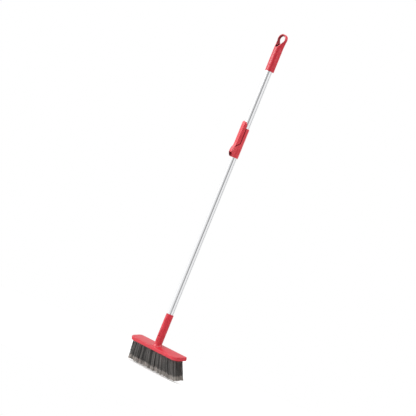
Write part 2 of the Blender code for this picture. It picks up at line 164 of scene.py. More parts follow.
# Camera: level with a point a little below the broom's middle, and rolled so that the handle leans
CAMERA_AZIMUTH = radians(52.5)
CAMERA_ROLL = radians(22.12)
CAMERA_DISTANCE = 7.5
CAMERA_AIM = Vector((0, 0, -0.625))
CAMERA_ASIDE = 0.0169
IMAGE_SIDE = 1.3867  # metres across the image at the handle
SENSOR = 36.0

# Studio: brightness round the horizon, as (degrees to the right of the camera's side, tone)
SHINE_BANDS = (
    (-180, 0.75), (-166, 0.75), (-152, 1.00), (-122, 1.00), (-108, 1.25), (-96, 1.10), (-84, 0.96),
    (-40, 0.90), (-20, 0.75), (-8, 0.45), (1, 0.20), (13, 0.22), (24, 0.80), (45, 0.95), (82, 0.90),
    (95, 0.40), (106, 0.40), (118, 1.00), (150, 1.00), (164, 0.75),
)
FILL_BANDS = ((-180, 0.50), (-90, 0.70), (-30, 0.42), (15, 0.30), (90, 0.34), (150, 0.42))
FLOOR_RADIUS = 1.2

# Lights: name, azimuth and elevation in degrees, distance, size, power
LIGHTS = (("key", -36, 24, 3.2, 1.4, 62), ("top", 30, 78, 3.0, 1.6, 27), ("right", 118, 50, 2.0, 0.9, 14))
LIGHT_AIM = Vector((0, 0, -0.6))


# ---------------------------------------------------------------- shapes


def mesh_of(name, shape):
    bmesh.ops.recalc_face_normals(shape, faces=shape.faces)
    mesh = bpy.data.meshes.new(name)
    shape.to_mesh(mesh)
    shape.free()
    return mesh


def lofted(name, rings):
    """A closed body through rings of equally many points, capped at both ends."""
    shape = bmesh.new()
    loops = [[shape.verts.new(point) for point in ring] for ring in rings]
    for lower, upper in zip(loops, loops[1:]):
        for i in range(len(lower)):
            j = (i + 1) % len(lower)
            shape.faces.new((lower[i], lower[j], upper[j], upper[i]))
    shape.faces.new(loops[0])
    shape.faces.new(loops[-1])
    return mesh_of(name, shape)


def circle(radius, height, sides=SIDES):
    turns = [2 * pi * i / sides for i in range(sides)]
    return [(radius * cos(turn), radius * sin(turn), height) for turn in turns]


def turned(name, profile, sides=SIDES):
    """A closed body of revolution about Z from a closed profile of (radius, height) points."""
    shape = bmesh.new()
    columns = []
    for i in range(sides):
        turn = 2 * pi * i / sides
        columns.append([shape.verts.new((r * cos(turn), r * sin(turn), z)) for r, z in profile])
    for left, right in zip(columns, columns[1:] + columns[:1]):
        for i in range(len(profile)):
            j = (i + 1) % len(profile)
            shape.faces.new((left[i], right[i], right[j], left[j]))
    return mesh_of(name, shape)


def rod(name, radius, low, high, sides=SIDES):
    return lofted(name, [circle(radius, low, sides), circle(radius, high, sides)])


def prism_x(name, outline, left, right):
    """An outline of (y, z) points drawn out along X."""
    return lofted(name, [[(x, y, z) for y, z in outline] for x in (left, right)])


def prism_y(name, outline, front, back):
    """An outline of (x, z) points drawn out along Y."""
    return lofted(name, [[(x, y, z) for x, z in outline] for y in (front, back)])


def box(name, low, high):
    outline = [(low[1], low[2]), (high[1], low[2]), (high[1], high[2]), (low[1], high[2])]
    return prism_x(name, outline, low[0], high[0])


def arc(centre, radius_x, radius_z, start, end, steps):
    turns = [start + (end - start) * i / steps for i in range(steps + 1)]
    return [(centre[0] + radius_x * cos(turn), centre[1] + radius_z * sin(turn)) for turn in turns]


def rounded_levels(soft, low, high):
    """Steps of (inset, height) up a body whose lower and upper edges are rounded by soft."""
    turns = [radians(turn) for turn in range(0, 91, 15)]
    steps = [(soft * (1 - sin(turn)), soft * (1 - cos(turn))) for turn in turns]
    lower = [(inset, low + rise) for inset, rise in steps]
    return lower + [(inset, high - rise) for inset, rise in reversed(steps)]


def blend(start, end, share):
    return start + (end - start) * share


def added(name, mesh, matrix=None):
    body = bpy.data.objects.new(name, mesh)
    bpy.context.scene.collection.objects.link(body)
    if matrix is not None:
        body.matrix_world = matrix
    return body


def applied(body):
    """Turns a body's modifiers into its own mesh."""
    bpy.context.view_layer.update()
    graph = bpy.context.evaluated_depsgraph_get()
    body.data = bpy.data.meshes.new_from_object(body.evaluated_get(graph))
    body.modifiers.clear()
    return body


def combine(body, operation, other, matrix=None):
    """Joins another mesh to a body, cuts it away, or keeps what both fill."""
    tool = added("tool", other, matrix) if isinstance(other, bpy.types.Mesh) else other
    step = body.modifiers.new(operation.lower(), "BOOLEAN")
    step.operation = operation
    step.solver = "EXACT"
    step.object = tool
    applied(body)
    bpy.data.objects.remove(tool)
    return body


def bevelled(body, width, segments=3, angle=32):
    step = body.modifiers.new("bevel", "BEVEL")
    step.width = width
    step.segments = segments
    step.limit_method = "ANGLE"
    step.angle_limit = radians(angle)
    return applied(body)


def softened(body, voxel, passes):
    """Rebuilds a body from small voxels and smooths it, which rounds its edges over."""
    remesh = body.modifiers.new("remesh", "REMESH")
    remesh.mode = "VOXEL"
    remesh.voxel_size = voxel
    soften = body.modifiers.new("soften", "SMOOTH")
    soften.iterations = passes
    return applied(body)


def shown(body, material, rides_on, slot, *stands_for, sharp=38):
    """Gives a finished piece its shading, material and body, and hides the CAD nodes it stands for; slot
    is not used.
    """
    body.data.shade_smooth()
    body.data.set_sharp_from_angle(angle=radians(sharp))
    body.data.materials.clear()
    body.data.materials.append(material)
    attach(body, rides_on)
    if stands_for:
        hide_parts(*stands_for)
    return body


# ---------------------------------------------------------------- materials


class Surface:
    """A Principled material and short ways to add nodes to it."""

    def __init__(self, name, colour, roughness, metallic=0.0):
        self.material = bpy.data.materials.new(name)
        self.material.use_nodes = True
        self.nodes = self.material.node_tree.nodes
        self.links = self.material.node_tree.links
        self.shader = self.nodes["Principled BSDF"]
        self.shader.inputs["Base Color"].default_value = (*colour, 1.0)
        self.shader.inputs["Roughness"].default_value = roughness
        self.shader.inputs["Metallic"].default_value = metallic

    def place(self, scale=(1.0, 1.0, 1.0)):
        """Object coordinates, stretched."""
        where = self.nodes.new("ShaderNodeTexCoord")
        mapping = self.nodes.new("ShaderNodeMapping")
        mapping.inputs["Scale"].default_value = scale
        self.links.new(where.outputs["Object"], mapping.inputs["Vector"])
        return mapping.outputs["Vector"]

    def axes(self):
        """The object's X, Y and Z coordinates."""
        node = self.nodes.new("ShaderNodeSeparateXYZ")
        self.links.new(self.place(), node.inputs["Vector"])
        return node.outputs["X"], node.outputs["Y"], node.outputs["Z"]

    def math(self, operation, *terms):
        """One step of arithmetic; each term is a number or another node's output."""
        node = self.nodes.new("ShaderNodeMath")
        node.operation = operation
        for socket, term in zip(node.inputs, terms):
            if isinstance(term, (int, float)):
                socket.default_value = term
            else:
                self.links.new(term, socket)
        return node.outputs["Value"]

    def noise(self, vector, scale, detail=3.0, roughness=0.55):
        texture = self.nodes.new("ShaderNodeTexNoise")
        texture.inputs["Scale"].default_value = scale
        texture.inputs["Detail"].default_value = detail
        texture.inputs["Roughness"].default_value = roughness
        self.links.new(vector, texture.inputs["Vector"])
        return texture.outputs["Fac"]

    def spread(self, value, low, high, to_low=0.0, to_high=1.0):
        """Maps low..high of a value to another range, clamped."""
        node = self.nodes.new("ShaderNodeMapRange")
        for name, number in (
            ("From Min", low), ("From Max", high), ("To Min", to_low), ("To Max", to_high),
        ):
            node.inputs[name].default_value = number
        self.links.new(value, node.inputs["Value"])
        return node.outputs["Result"]

    def mix(self, share, first, second):
        """A colour between two colours; each is a colour or another node's output."""
        node = self.nodes.new("ShaderNodeMix")
        node.data_type = "RGBA"
        self.links.new(share, node.inputs["Factor"])
        for socket, colour in ((node.inputs[6], first), (node.inputs[7], second)):
            if isinstance(colour, tuple):
                socket.default_value = (*colour, 1.0)
            else:
                self.links.new(colour, socket)
        return node.outputs[2]

    def colour(self, output):
        self.links.new(output, self.shader.inputs["Base Color"])

    def roughness(self, output):
        self.links.new(output, self.shader.inputs["Roughness"])

    def bump(self, height, distance, strength=1.0):
        node = self.nodes.new("ShaderNodeBump")
        node.inputs["Distance"].default_value = distance
        node.inputs["Strength"].default_value = strength
        self.links.new(height, node.inputs["Height"])
        self.links.new(node.outputs["Normal"], self.shader.inputs["Normal"])


def red_plastic(name, tones, shadow=None, deep=SEAM_SHADE):
    """Moulded polypropylene with faint mottling; shadow masks its deep places, where painted shade darkens
    the colour and lowers the shine.
    """
    surface = Surface(name, tones[0], 0.36)
    vector = surface.place()
    mottle = surface.spread(surface.noise(vector, 55.0), 0.3, 0.7)
    colour = surface.mix(mottle, *tones)
    if shadow:
        # painted shade: the mask darkens the colour towards the shade colour and lowers the specular
        share = shadow(surface)
        colour = surface.mix(share, colour, deep)
        shade_dimmed_specular = surface.spread(share, 0.0, 1.0, 0.5, 0.05)
        surface.links.new(shade_dimmed_specular, surface.shader.inputs["Specular IOR Level"])
    surface.colour(colour)
    rubbed = surface.noise(surface.place((1.0, 1.0, 0.25)), 240.0, 4.0, 0.7)
    surface.roughness(surface.spread(rubbed, 0.3, 0.75, 0.31, 0.42))
    surface.bump(surface.noise(vector, 700.0, 2.0), 0.00003, 0.2)
    return surface.material


def shade_beside_lever(surface):
    """Painted shade on the lock body: a dark line along the outline of the lever's skirt and beside its
    arm, and darkening over the slot in front of the sleeve.
    """
    x, y, z = surface.axes()
    behind = surface.math("ADD", y, SKIRT_BACK)
    sloping = surface.math("MULTIPLY", behind, SKIRT_SLOPE)
    below = surface.math("SUBTRACT", surface.math("ADD", SKIRT_END, sloping), z)
    away = surface.math("MAXIMUM", behind, below)
    outer = surface.spread(away, SEAM_SHADE_WIDTH, SEAM_SHADE_WIDTH + 0.0010, 1.0, 0.0)
    line = surface.math("MULTIPLY", outer, surface.spread(away, -0.0005, 0.0008))
    aside = surface.math("ABSOLUTE", x)
    slot = surface.spread(aside, SLOT_HALF_WIDTH + 0.0003, SLOT_HALF_WIDTH + 0.0012, 1.0, 0.0)
    front = surface.spread(y, -LOCK_RADIUS, -LOCK_RADIUS - 0.0005)
    return surface.math("MAXIMUM", line, surface.math("MULTIPLY", slot, front))


def within(surface, centre_z, half_width, half_height):
    """Grows from 0 at the middle of an upright ellipse, through 1 on its outline."""
    x, y, z = surface.axes()
    out = surface.math("POWER", surface.math("DIVIDE", x, half_width), 2.0)
    up = surface.math("DIVIDE", surface.math("SUBTRACT", z, centre_z), half_height)
    return surface.math("ADD", out, surface.math("POWER", up, 2.0))


def shade_in_hole(surface):
    """Painted shade on the walls of the hole in the hanging loop, darkest in its deep, narrow foot."""
    wall = within(surface, -HOLE_HALF_HEIGHT - 0.002, HOLE_HALF_WIDTH + 0.0030, HOLE_HALF_HEIGHT + 0.0050)
    foot_z = HOLE_FOOT_RADIUS - HOLE_DEPTH - 0.0010
    foot = within(surface, foot_z, HOLE_FOOT_RADIUS + 0.0052, HOLE_FOOT_RADIUS + 0.0050)
    shade = surface.spread(wall, 1.45, 1.0, 0.0, 0.55)
    return surface.math("MAXIMUM", shade, surface.spread(foot, 1.1, 0.8))


def aluminium():
    """Drawn and anodised tube: fine lines along its length."""
    surface = Surface("anodised_aluminium", (0.90, 0.905, 0.92), 0.2, 1.0)
    lines = surface.noise(surface.place((1.0, 1.0, 0.006)), 1800.0, 3.0, 0.6)
    cloud = surface.noise(surface.place((1.0, 1.0, 0.2)), 40.0, 2.0)
    surface.colour(surface.mix(cloud, (0.88, 0.885, 0.90), (0.93, 0.935, 0.945)))
    surface.roughness(surface.spread(lines, 0.3, 0.7, 0.15, 0.27))
    surface.bump(lines, 0.00001, 0.6)
    return surface.material


def steel():
    surface = Surface("zinc_plated_steel", (0.62, 0.61, 0.58), 0.3, 1.0)
    cloud = surface.noise(surface.place(), 900.0, 4.0)
    surface.colour(surface.mix(cloud, (0.50, 0.49, 0.47), (0.70, 0.69, 0.66)))
    surface.roughness(surface.spread(cloud, 0.3, 0.7, 0.22, 0.42))
    surface.bump(cloud, 0.00002, 0.4)
    return surface.material


def nylon():
    surface = Surface("white_nylon", (0.74, 0.74, 0.71), 0.45)
    cloud = surface.noise(surface.place(), 120.0, 4.0)
    surface.colour(surface.mix(cloud, (0.69, 0.69, 0.66), (0.78, 0.78, 0.75)))
    surface.roughness(surface.spread(cloud, 0.3, 0.7, 0.38, 0.52))
    surface.bump(cloud, 0.00003, 0.3)
    return surface.material


def bristle():
    """Dark filaments whose flagged ends are pale; the strands differ in shade."""
    surface = Surface("bristle", (0.06, 0.056, 0.053), 0.5)
    height = surface.axes()[2]
    shade = surface.nodes.new("ShaderNodeAttribute")
    shade.attribute_name = "shade"
    tone = surface.mix(shade.outputs["Fac"], (0.006, 0.0057, 0.0055), (0.240, 0.227, 0.216))
    pale = surface.mix(shade.outputs["Fac"], (0.15, 0.137, 0.127), (0.66, 0.61, 0.567))
    ragged = surface.noise(surface.place((1.0, 1.0, 0.3)), 260.0, 3.0)
    shift = surface.spread(ragged, 0.3, 0.7, -0.0035, 0.0035)
    flag_top = FLAG_LENGTH - BRISTLE_LENGTH
    tip = surface.spread(surface.math("ADD", height, shift), flag_top, flag_top - 0.003)
    surface.colour(surface.mix(tip, tone, pale))
    surface.roughness(surface.spread(shade.outputs["Fac"], 0.0, 1.0, 0.42, 0.60))
    return surface.material


def floor_material():
    """Near white, but dimmer where the bright tubes mirror it, or they'd vanish against it."""
    surface = Surface("pale_floor", (0.90, 0.90, 0.90), 0.9)
    cloud = surface.noise(surface.place(), 3.0)
    white = surface.mix(cloud, (0.89, 0.89, 0.89), (0.91, 0.91, 0.91))
    mirrored = surface.nodes.new("ShaderNodeLightPath").outputs["Is Glossy Ray"]
    surface.colour(surface.mix(mirrored, white, (0.58, 0.58, 0.58)))
    surface.shader.inputs["Emission Color"].default_value = (1.0, 1.0, 1.0, 1.0)
    glow = surface.spread(mirrored, 0.0, 1.0, 0.35, 0.12)
    surface.links.new(glow, surface.shader.inputs["Emission Strength"])
    return surface.material


# ---------------------------------------------------------------- grip


def grip_ring(half_width, half_depth, squareness, back, height):
    """A section of the grip, between an ellipse and a rectangle."""
    ring = []
    for x, y, z in circle(1.0, height):
        reach = (abs(x) ** squareness + abs(y) ** squareness) ** (-1 / squareness)
        ring.append((x * half_width * reach, y * half_depth * reach + back, z))
    return ring


def sleeve_rings():
    groove = GRIP_BOTTOM + COLLAR_HEIGHT
    top = groove + GROOVE_WIDTH / 2
    levels = [
        (0.955 * GRIP_RADIUS, GRIP_BOTTOM),
        (0.985 * GRIP_RADIUS, GRIP_BOTTOM + 0.0004),
        (GRIP_RADIUS, GRIP_BOTTOM + 0.0012),
        (GRIP_RADIUS, groove - GROOVE_WIDTH / 2),
        (GRIP_RADIUS - GROOVE_DEPTH, groove - GROOVE_WIDTH / 5),
        (GRIP_RADIUS - GROOVE_DEPTH, groove + GROOVE_WIDTH / 5),
        (GRIP_RADIUS, top),
    ]
    levels += [(GRIP_RADIUS, blend(top, GRIP_SHOULDER, (i + 1) / 8)) for i in range(8)]
    return [grip_ring(radius, radius, SLEEVE_SQUARENESS, SLEEVE_BACK, height) for radius, height in levels]


def loop_rings():
    """Sections that flatten from the sleeve into the loop, then close over its top."""
    middle = GRIP_TOP - LOOP_HALF_HEIGHT
    low = middle + LOOP_HALF_HEIGHT * sin(LOOP_START)
    thick = 1.2 * LOOP_HALF_THICKNESS
    rings = []
    steps = 10
    for share in [(i + 1) / (steps + 1) for i in range(steps)]:
        half_width = blend(GRIP_RADIUS, LOOP_HALF_WIDTH * cos(LOOP_START), share**1.3)
        half_depth = blend(GRIP_RADIUS, thick, share**0.8)
        back = blend(SLEEVE_BACK, LOOP_BACK, share)
        height = blend(GRIP_SHOULDER, low, share)
        squareness = blend(SLEEVE_SQUARENESS, LOOP_SQUARENESS, share)
        rings.append(grip_ring(half_width, half_depth, squareness, back, height))
    steps = 28
    for step in range(steps + 1):
        turn = blend(LOOP_START, radians(86), step / steps)
        half_depth = blend(thick, LOOP_HALF_THICKNESS, min(1.0, 3.3 * step / steps))
        height = middle + LOOP_HALF_HEIGHT * sin(turn)
        half_width = LOOP_HALF_WIDTH * cos(turn)
        rings.append(grip_ring(half_width, half_depth, LOOP_SQUARENESS, LOOP_BACK, height))
    return rings


def hanging_hole(flare, y):
    """The hole's outline in the plane at y, widened by flare."""
    centre = (0.0, -HOLE_HALF_HEIGHT)
    width, height = HOLE_HALF_WIDTH + flare, HOLE_HALF_HEIGHT + 0.7 * flare
    outline = arc(centre, width, height, radians(-22), radians(202), 56)
    radius = HOLE_FOOT_RADIUS + flare
    outline += arc((0.0, HOLE_FOOT_RADIUS - HOLE_DEPTH), radius, radius, radians(205), radians(335), 16)
    return [(x, y, z) for x, z in outline]


def hole_rings():
    """The hole from front to back: it opens out towards both faces of the loop."""
    half = LOOP_HALF_THICKNESS
    steps = ((-6.0, 1.0), (-1.0, 1.0), (-0.2, 0.0), (0.2, 0.0), (1.0, 1.0), (6.0, 1.0))
    return [hanging_hole(HOLE_FLARE * open_by, LOOP_BACK + half * step) for step, open_by in steps]


def rib_grip(mesh):
    """Raises fine ribs on both flanks of the sleeve, between the collar and the loop."""
    low, high = GRIP_BOTTOM + COLLAR_HEIGHT + 0.004, GRIP_SHOULDER - 0.001
    for vertex in mesh.vertices:
        x, y, z = vertex.co
        side = abs(degrees(atan2(y - SLEEVE_BACK, abs(x))))
        if not low < z < high or side > RIB_REACH:
            continue
        fade = min(1.0, (RIB_REACH - side) / 8, (z - low) / 0.002, (high - z) / 0.002)
        wave = 0.5 + 0.5 * sin(2 * pi * z / RIB_PITCH)
        vertex.co.x += RIB_HEIGHT * fade * (wave - 0.6) * (1 if x > 0 else -1)


def add_grip(material):
    """The grip, with its edges rounded over and fine ribs on its two flanks."""
    grip = added("grip_shell", lofted("grip_shell", sleeve_rings() + loop_rings()))
    combine(grip, "DIFFERENCE", lofted("hole", hole_rings()))
    softened(grip, 0.00045, 5)
    rib_grip(grip.data)
    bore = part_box("outer_tube")[1].z + GAP
    combine(grip, "DIFFERENCE", rod("bore", OUTER_RADIUS + GAP, GRIP_BOTTOM - 0.01, bore))
    return shown(grip, material, "handle", "red_plastic", "grip", sharp=60)


# ---------------------------------------------------------------- handle


def tube(name, radius, node, material, body):
    """A thin tube with slightly rounded ends, as long as its CAD node."""
    low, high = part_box(node)[0].z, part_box(node)[1].z
    soft = 0.0002
    profile = [
        (radius - TUBE_WALL, low + soft),
        (radius - TUBE_WALL + soft, low),
        (radius - soft, low),
        (radius, low + soft),
        (radius, high - soft),
        (radius - soft, high),
        (radius - TUBE_WALL + soft, high),
        (radius - TUBE_WALL, high - soft),
    ]
    return shown(added(name, turned(name, profile)), material, body, "aluminium", node)


# ---------------------------------------------------------------- lock


def along_pin():
    """Turns a body that points along +Z so that it lies on the lever's pivot, along X."""
    return Matrix.Translation(PIVOT) @ Matrix.Rotation(pi / 2, 4, "Y")


def pin_hole():
    """The pin's hole, which is blind in the +X cheek."""
    return rod("pin_hole", PIN_RADIUS + GAP, -0.02, CHEEK_HALF_WIDTH - PIN_COVER, 32)


def add_lock_body(material):
    """The sleeve with its rounded rims and the two cheeks that carry the pin."""
    levels = rounded_levels(0.0007, LOCK_BOTTOM, LOCK_TOP)
    rings = [circle(LOCK_RADIUS - inset, height) for inset, height in levels]
    body = added("lock_sleeve", lofted("lock_sleeve", rings))
    z = PIVOT.z
    outline = [
        (-0.002, CHEEK_TOP),
        (-0.0115, CHEEK_TOP - 0.001),
        (-0.0165, CHEEK_TOP - 0.008),
        (-CHEEK_FRONT + 0.0016, CHEEK_TOP - 0.018),
        (-CHEEK_FRONT, z + 0.004),
        (-CHEEK_FRONT, z - 0.0045),
        (-CHEEK_FRONT + 0.0032, z - 0.0113),
        (-0.0165, LOCK_BOTTOM + 0.002),
        (-0.0145, LOCK_BOTTOM + 0.0004),
        (-0.002, LOCK_BOTTOM + 0.0004),
    ]
    cheeks = added("cheeks", prism_x("cheeks", outline, -CHEEK_HALF_WIDTH, CHEEK_HALF_WIDTH))
    bevelled(cheeks, 0.0011, 4, 15)
    combine(body, "UNION", cheeks)
    back = LOCK_RADIUS + GAP
    low = (-SLOT_HALF_WIDTH, -0.04, LOCK_BOTTOM - 0.01)
    combine(body, "DIFFERENCE", box("slot", low, (SLOT_HALF_WIDTH, -back, CHEEK_TOP + 0.01)))
    shoe_low, shoe_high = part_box("clamp_shoe")
    low = (shoe_low.x - GAP, -back - 0.001, shoe_low.z - GAP)
    high = (shoe_high.x + GAP, -0.75 * OUTER_RADIUS, shoe_high.z + GAP)
    combine(body, "DIFFERENCE", box("window", low, high))
    lip = LOCK_BOTTOM + LIP_HEIGHT
    combine(body, "DIFFERENCE", rod("bore", OUTER_RADIUS + GAP, lip, 0.0))
    combine(body, "DIFFERENCE", rod("lip_bore", INNER_RADIUS + GAP, LOCK_BOTTOM - 0.01, 0.0))
    combine(body, "DIFFERENCE", pin_hole(), along_pin())
    return shown(body, material, "handle", "red_plastic", "lock_body")


def lever_arm():
    """The narrow arm's side view, from the skirt down to the nose over the pivot."""
    clear = LOCK_RADIUS + 2 * GAP
    z = PIVOT.z
    back = PIVOT.y + 0.0025
    return [
        (-clear, SKIRT_END + 0.012),
        (-clear, z + 0.008),
        (back, z + 0.003),
        (back, z - 0.002),
        (PIVOT.y - 0.0005, z - 0.0036),
        (-LEVER_NOSE + 0.0010, z - 0.0030),
        (-LEVER_NOSE, z),
        (-LEVER_NOSE + 0.0004, z + 0.0060),
        (-LEVER_NOSE + 0.0024, z + 0.0140),
        (-LEVER_FRONT - 0.0012, z + 0.0220),
        (-LEVER_FRONT, z + 0.0320),
        (-LEVER_FRONT, SKIRT_END + 0.012),
    ]


def lever_tongue():
    """The thumb tongue: a flat front with slanted sides that wrap the tube, rounded at its top."""
    half = SKIRT_HALF_WIDTH
    section = [
        (-half, -SKIRT_BACK),
        (-LEVER_HALF_WIDTH - 0.0010, -LEVER_FRONT + 0.0009),
        (-LEVER_HALF_WIDTH + 0.0004, -LEVER_FRONT),
        (LEVER_HALF_WIDTH - 0.0004, -LEVER_FRONT),
        (LEVER_HALF_WIDTH + 0.0010, -LEVER_FRONT + 0.0009),
        (half, -SKIRT_BACK),
    ]
    levels = (SKIRT_END - 0.02, LEVER_TOP + 0.01)
    tongue = added("tongue", lofted("tongue", [[(x, y, z) for x, y in section] for z in levels]))
    front = arc((0.0, LEVER_TOP - 1.5 * half), half + 0.0005, 1.5 * half, 0.0, pi, 32)
    front += [(-half - 0.0005, SKIRT_END - 0.02), (half + 0.0005, SKIRT_END - 0.02)]
    combine(tongue, "INTERSECT", prism_y("tongue_front", front, -0.03, 0.0))
    side = [
        (0.0, SKIRT_END),
        (-SKIRT_BACK, SKIRT_END),
        (-LEVER_FRONT - 0.004, SKIRT_END - SKIRT_SLOPE * (LEVER_FRONT + 0.004 - SKIRT_BACK)),
        (-LEVER_FRONT - 0.004, LEVER_TOP - 0.018),
        (-LEVER_FRONT, LEVER_TOP - 0.012),
        (-LEVER_FRONT + 0.0006, LEVER_TOP - 0.0050),
        (-LEVER_FRONT + 0.0012, LEVER_TOP - 0.0015),
        (-LEVER_FRONT + 0.0020, LEVER_TOP),
        (0.0, LEVER_TOP + 0.001),
    ]
    return combine(tongue, "INTERSECT", prism_x("tongue_side", side, -0.02, 0.02))


def add_lever(material):
    """The arm and the tongue as one soft body, hollowed over the lock, with the cam at its pivot."""
    half = LEVER_HALF_WIDTH - 0.0004
    lever = added("thumb_lever", prism_x("thumb_lever", lever_arm(), -half, half))
    combine(lever, "UNION", lever_tongue())
    softened(lever, 0.0004, 4)
    over_body = LOCK_TOP + 2 * GAP
    combine(lever, "DIFFERENCE", rod("body_hollow", LOCK_RADIUS + 2 * GAP, BELOW_LEVER, over_body))
    over_tube = rod("tube_hollow", OUTER_RADIUS + 2 * GAP, BELOW_LEVER, ABOVE_LEVER)
    combine(lever, "DIFFERENCE", over_tube)
    cam = rod("cam", CAM_RADIUS, -half, half, 48)
    combine(lever, "UNION", cam, Matrix.Translation((0, CAM_OFFSET, 0)) @ along_pin())
    combine(lever, "DIFFERENCE", pin_hole(), along_pin())
    return shown(lever, material, "lever", "red_plastic", "lock_lever", sharp=50)


# ---------------------------------------------------------------- brush head


def raked():
    """The brush head's own frame: its origin is the middle of the block's underside."""
    return Matrix.Translation(UNDERSIDE) @ Matrix.Rotation(RAKE, 4, "X")


def rounded_block(inset, height):
    """The block's outline, drawn in by an inset; its front corners are rounder than its back ones."""
    ring = []
    corners = ((1, 1, BACK_CORNER), (-1, 1, BACK_CORNER), (-1, -1, FRONT_CORNER), (1, -1, FRONT_CORNER))
    for quarter, (side, face, radius) in enumerate(corners):
        centre = (side * (BLOCK_LENGTH / 2 - radius), face * (BLOCK_WIDTH / 2 - radius))
        start = quarter * pi / 2
        ring += arc(centre, radius - inset, radius - inset, start, start + pi / 2, 30)
    return [(x, y, height) for x, y in ring]


def block_rings():
    """Sections from the underside up, with rounded lower and upper edges and a slight crown."""
    levels = rounded_levels(0.0022, 0.0, BLOCK_EDGE)
    levels += [(0.0055, BLOCK_EDGE + BLOCK_CROWN * 0.6), (0.0090, BLOCK_EDGE + BLOCK_CROWN)]
    return [rounded_block(inset, height) for inset, height in levels]


def neck_foot():
    """The height at which the handle's axis meets the top of the block."""
    forward = UNDERSIDE.y / cos(RAKE)
    return UNDERSIDE.z + BLOCK_EDGE / cos(RAKE) - forward * sin(RAKE) + BLOCK_CROWN * 0.6


def neck_rings():
    """Sections of the socket, from its rim down through the fillet that meets the raked block."""
    foot = neck_foot()
    rings = [
        circle(SOCKET_RADIUS - 0.0008, SOCKET_TOP),
        circle(SOCKET_RADIUS - 0.0002, SOCKET_TOP - 0.0003),
        circle(SOCKET_RADIUS, SOCKET_TOP - 0.0010),
    ]
    flare_top = foot + NECK_FILLET + 0.006
    rings.append(circle(SOCKET_RADIUS, flare_top))
    steps = [(1 - sin(radians(turn)), 1 - cos(radians(turn))) for turn in range(0, 89, 8)]
    for rise, reach in steps + [(-0.6 * BLOCK_EDGE / NECK_FILLET, 1.0)]:
        lean = min(1.0, (flare_top - foot - rise * NECK_FILLET) / (flare_top - foot))
        ring_frame = Matrix.Translation((0, 0, foot + rise * NECK_FILLET))
        ring_frame @= Matrix.Rotation(RAKE * lean, 4, "X")
        ring = [ring_frame @ Vector(p) for p in circle(SOCKET_RADIUS + NECK_FILLET * reach, 0.0)]
        rings.append([Vector((x, max(y, -NECK_FRONT), z)) for x, y, z in ring])
    return rings[::-1]


def add_block(material):
    """The block and its socket, with the pad and slot of the release tongue."""
    mesh = lofted("head_block", block_rings())
    mesh.transform(raked())
    block = added("head_block", mesh)
    combine(block, "UNION", lofted("neck", neck_rings()))
    low = (-PAD_HALF_WIDTH, -PAD_FRONT, neck_foot() + 1.5 * NECK_FILLET)
    pad = added("pad", box("pad", low, (PAD_HALF_WIDTH, -0.008, SOCKET_TOP - 0.006)))
    combine(block, "UNION", bevelled(pad, 0.0004, 2))
    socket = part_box("inner_tube")[0].z - 0.003
    combine(block, "DIFFERENCE", rod("socket_bore", INNER_RADIUS + GAP, socket, 0.0))
    edge = 2 * GAP
    low = (-TONGUE_HALF_WIDTH - edge, -0.02, TONGUE_TOP - TONGUE_LENGTH - 3 * edge)
    high = (TONGUE_HALF_WIDTH + edge, -0.006, TONGUE_TOP + edge)
    combine(block, "DIFFERENCE", box("tongue_slot", low, high))
    return shown(block, material, "lower", "red_plastic", "brush_block")


# ---------------------------------------------------------------- bristles


class Strands:
    """Collects thin three-sided strands into one mesh, with a shade for each."""

    def __init__(self):
        self.points, self.faces, self.shades = [], [], []

    def add(self, path, radii, shade):
        first = len(self.points)
        for (x, y, z), radius in zip(path, radii):
            for corner in range(3):
                turn = 2 * pi * corner / 3
                self.points.append((x + radius * cos(turn), y + radius * sin(turn), z))
                self.shades.append(shade)
        for level in range(len(path) - 1):
            for corner in range(3):
                a = first + 3 * level + corner
                b = first + 3 * level + (corner + 1) % 3
                self.faces.append((a, a + 3, b + 3, b))
        last = first + 3 * (len(path) - 1)
        self.faces.append((first, first + 1, first + 2))
        self.faces.append((last + 2, last + 1, last))

    def mesh(self, name):
        mesh = bpy.data.meshes.new(name)
        mesh.from_pydata(self.points, [], self.faces)
        attribute = mesh.attributes.new("shade", "FLOAT", "POINT")
        attribute.data.foreach_set("value", self.shades)
        return mesh


def add_strand(strands, root, tip, shade, dice):
    """One filament, bowed a little, that splits into two flags near its tip."""
    bow = Vector((dice.gauss(0, 0.0010), dice.gauss(0, 0.0008), 0))
    split = 1 - FLAG_LENGTH / BRISTLE_LENGTH
    path = []
    for share in (0.0, 0.28, 0.58, split):
        path.append(root.lerp(tip, share) + bow * (4 * share * (1 - share)))
    radii = [STRAND_RADIUS, STRAND_RADIUS, 0.95 * STRAND_RADIUS, 0.85 * STRAND_RADIUS]
    strands.add(path, radii, shade)
    for flag in range(2):
        stray = Vector((dice.gauss(0, 0.0009), dice.gauss(0, 0.0009), dice.uniform(0, 0.0006)))
        end = tip + stray
        middle = path[-1].lerp(end, 0.5) + Vector((dice.gauss(0, 0.0003), dice.gauss(0, 0.0003), 0))
        radii = [0.8 * STRAND_RADIUS, STRAND_RADIUS, STRAND_RADIUS]
        strands.add([path[-1], middle, end], radii, shade)


